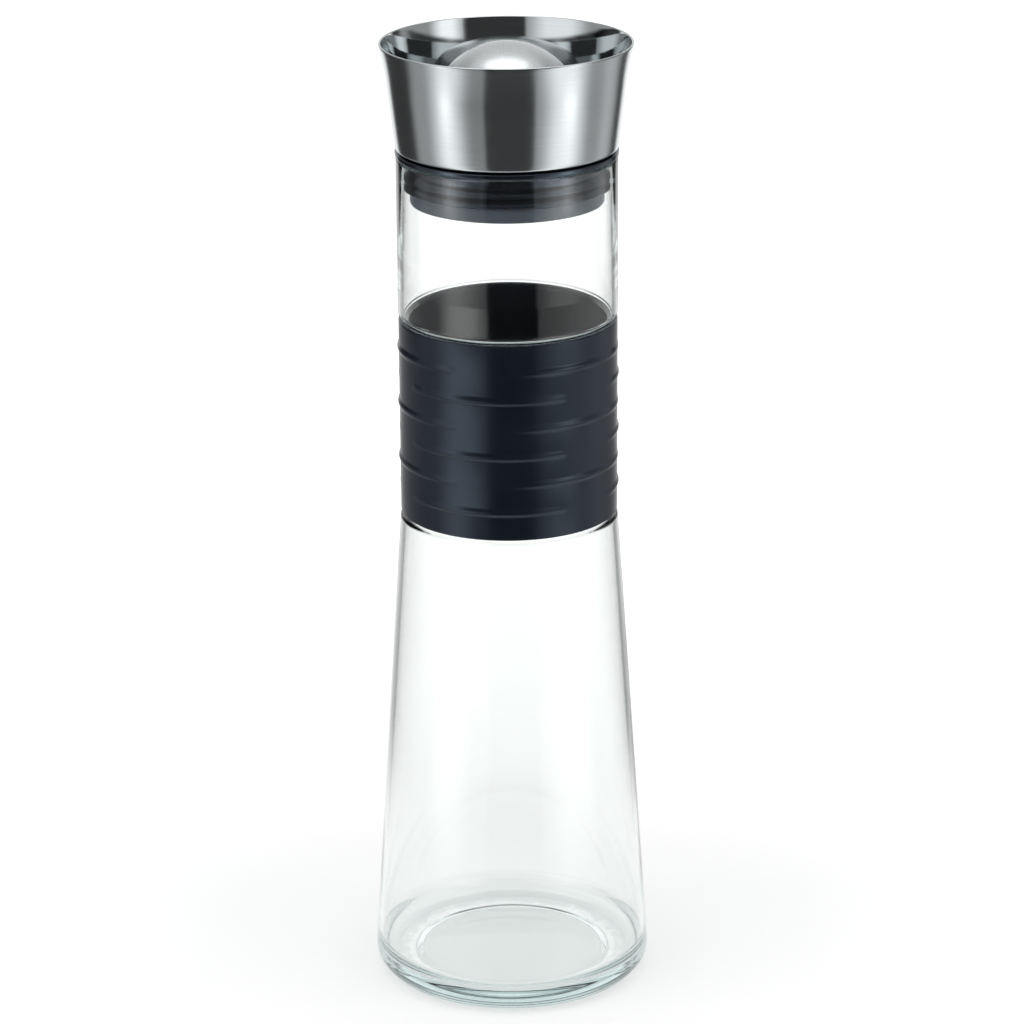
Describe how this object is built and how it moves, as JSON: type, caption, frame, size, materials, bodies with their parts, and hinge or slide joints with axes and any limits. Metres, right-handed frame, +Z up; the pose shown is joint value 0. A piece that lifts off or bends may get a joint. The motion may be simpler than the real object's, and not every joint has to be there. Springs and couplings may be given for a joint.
{
  "type": "carafe",
  "caption": "Tall glass carafe with a ribbed silicone grip at its waist and a lift-out stopper: a flared steel pouring collar round a dome valve that opens when tipped.",
  "frame": {"origin": "on the table, on the carafe's axis", "axes": "+Z up along the carafe's axis, -Y towards the viewer"},
  "size_m": [0.09, 0.09, 0.31],
  "materials": {
    "glass": "clear fire-polished glass",
    "grip": "matte anthracite silicone",
    "seal": "black silicone with a soft gloss",
    "clamp": "satin grey plastic",
    "collar": "satin outside, mirror polish inside",
    "dish": "mirror-polished stainless steel",
    "dome": "fine satin polish",
    "plug": "black moulded plastic",
    "bush": "natural bearing plastic",
    "stem": "turned stainless steel"
  },
  "bodies": {
    "bottle": {"glass_body": "glass", "grip_sleeve": "grip"},
    "stopper": {"neck_seal": "seal", "clamp_ring": "clamp", "pour_collar": "collar", "plug_body": "plug", "guide_spider": "plug", "guide_bush": "bush", "dish_gasket": "seal", "drip_dish": "dish"},
    "valve": {"dome_seal": "seal", "dome_carrier": "plug", "valve_dome": "dome", "valve_stem": "stem", "stem_nut": "stem", "closing_weight": "stem", "stem_clip": "stem"}
  },
  "joints": [
    {"name": "stopper_lift", "type": "slide", "parent": "bottle", "child": "stopper", "axis": [0, 0, 1], "range_m": [0, 0.06]},
    {"name": "valve_open", "type": "slide", "parent": "stopper", "child": "valve", "axis": [0, 0, 1], "range_m": [0, 0.006]}
  ]
}
